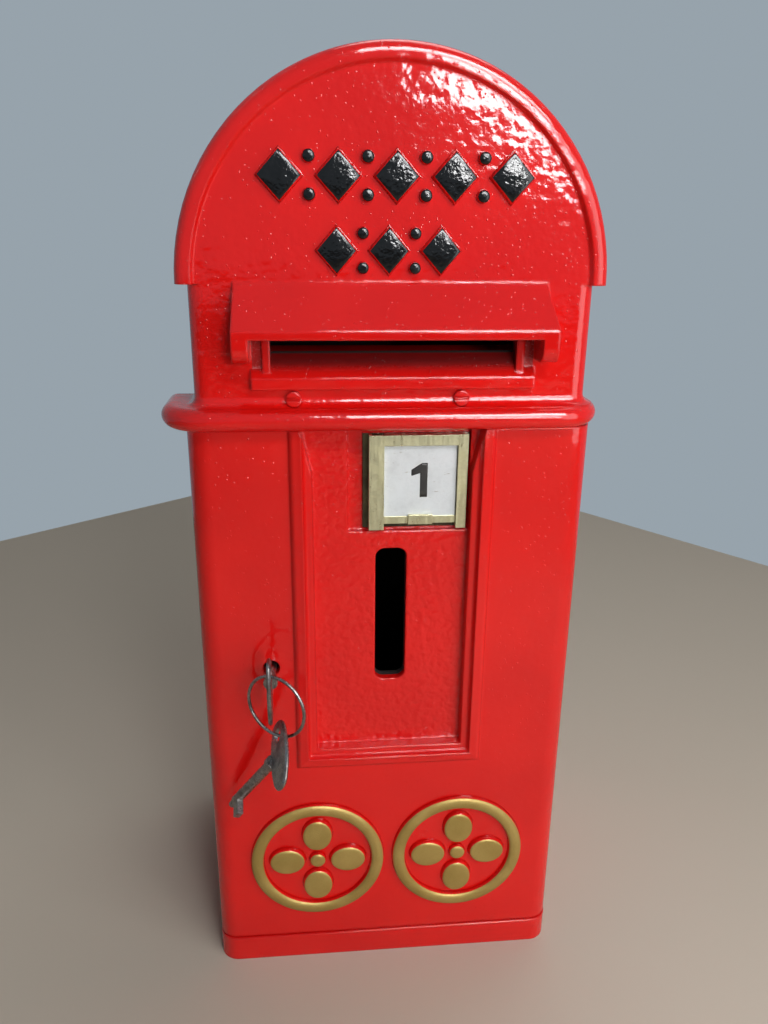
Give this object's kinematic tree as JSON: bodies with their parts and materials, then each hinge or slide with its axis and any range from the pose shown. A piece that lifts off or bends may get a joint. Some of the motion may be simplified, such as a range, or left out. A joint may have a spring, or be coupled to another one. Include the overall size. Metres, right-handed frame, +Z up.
{
  "type": "money box",
  "caption": "Red cast money box shaped as a small wall letter box: arched hood, hooded posting slit, hinged door with a slot, number tablet, working lock and keys on a ring.",
  "frame": {"origin": "middle of the base's underside", "axes": "+Z up, -Y out of the door, +X towards the door's hinge side"},
  "size_m": [0.2, 0.1983, 0.46],
  "materials": {
    "red_paint": "gloss",
    "aged_brass": "satin",
    "white_enamel": "gloss",
    "black_japan": "satin",
    "bright_steel": "satin",
    "dark_steel": "worn"
  },
  "bodies": {
    "case": {"body_casting": "red_paint", "letter_guard": "red_paint", "guard_screws": "red_paint", "guard_nuts": "bright_steel", "bolt_keeper": "bright_steel", "keeper_screws": "bright_steel", "hinge_pin_upper": "bright_steel", "hinge_pin_lower": "bright_steel", "hinge_washer": "aged_brass"},
    "door": {"door_casting": "red_paint", "tablet_back_plate": "aged_brass", "tablet_channel": "aged_brass", "tablet_stop_bar": "aged_brass", "tablet_top_rail": "aged_brass", "tablet_foot_rail": "aged_brass", "tablet_clip": "aged_brass", "tablet_rivets": "aged_brass", "lock_case": "black_japan", "lock_cover": "aged_brass", "bolt_spring": "bright_steel", "lock_screws": "bright_steel"},
    "tablet": {"number_tablet": "white_enamel"},
    "bolt": {"lock_bolt": "aged_brass"},
    "key": {"door_key": "dark_steel"},
    "ring": {"key_ring": "dark_steel"},
    "spare": {"spare_key": "dark_steel"}
  },
  "joints": [
    {"name": "door_swing", "type": "hinge", "parent": "case", "child": "door", "pos_m": [0.088, -0.051, 0.16], "axis": [0, 0, 1], "range_deg": [0, 105]},
    {"name": "tablet_lift", "type": "slide", "parent": "door", "child": "tablet", "axis": [0, 0, 1], "range_m": [0, 0.003]},
    {"name": "key_turn", "type": "hinge", "parent": "door", "child": "key", "pos_m": [-0.0588, -0.097, 0.1845], "axis": [0, -1, 0], "range_deg": [0, 180]},
    {"name": "bolt_slide", "type": "slide", "parent": "door", "child": "bolt", "axis": [-1, 0, 0], "range_m": [0, 0.008]},
    {"name": "ring_swing", "type": "hinge", "parent": "key", "child": "ring", "pos_m": [-0.0588, -0.097, 0.1928], "axis": [-0.8203, 0.5327, -0.2079], "range_deg": [0, 80]},
    {"name": "spare_swing", "type": "hinge", "parent": "ring", "child": "spare", "pos_m": [-0.05517, -0.09936, 0.16198], "axis": [-0.8366, 0.5433, -0.0698], "range_deg": [0, 40]}
  ],
  "couplings": [
    {"joint": "bolt_slide", "follows": "key_turn", "m_per_rad": 0.0025465}
  ]
}
